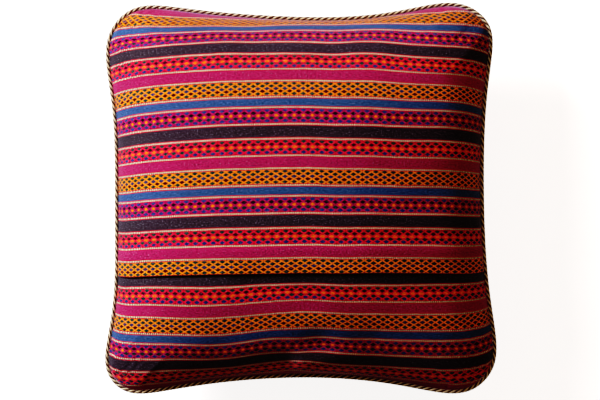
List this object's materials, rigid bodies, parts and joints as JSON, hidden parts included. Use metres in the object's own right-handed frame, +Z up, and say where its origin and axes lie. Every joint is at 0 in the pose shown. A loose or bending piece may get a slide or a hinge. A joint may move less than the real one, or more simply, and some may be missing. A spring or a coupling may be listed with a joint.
{
  "type": "kilim cushion",
  "caption": "Square striped flat-woven scatter cushion with a crowned filling, drawn-in sides, an overlapping envelope closure and twisted rope piping.",
  "frame": {"origin": "on the floor under the middle of the cushion's box", "axes": "+Z up through the crown on the closure side, the shortest way; +Y towards the edge of the upper back panel; +X to the right seen from above"},
  "size_m": [0.4486, 0.448, 0.1392],
  "materials": {
    "front_cloth": "matt flat weave in crosswise stripes of magenta, orange, blue, crimson, black and red",
    "back_cloth": "matt flat weave in crosswise stripes of magenta, orange, blue, crimson, black and red",
    "rope": "twisted cotton rope of cream and dark brown strands"
  },
  "bodies": {
    "root": {"cushion_body": "front_cloth", "upper_back_panel": "back_cloth", "lower_back_panel": "back_cloth", "rope_piping": "rope"}
  },
  "joints": []
}
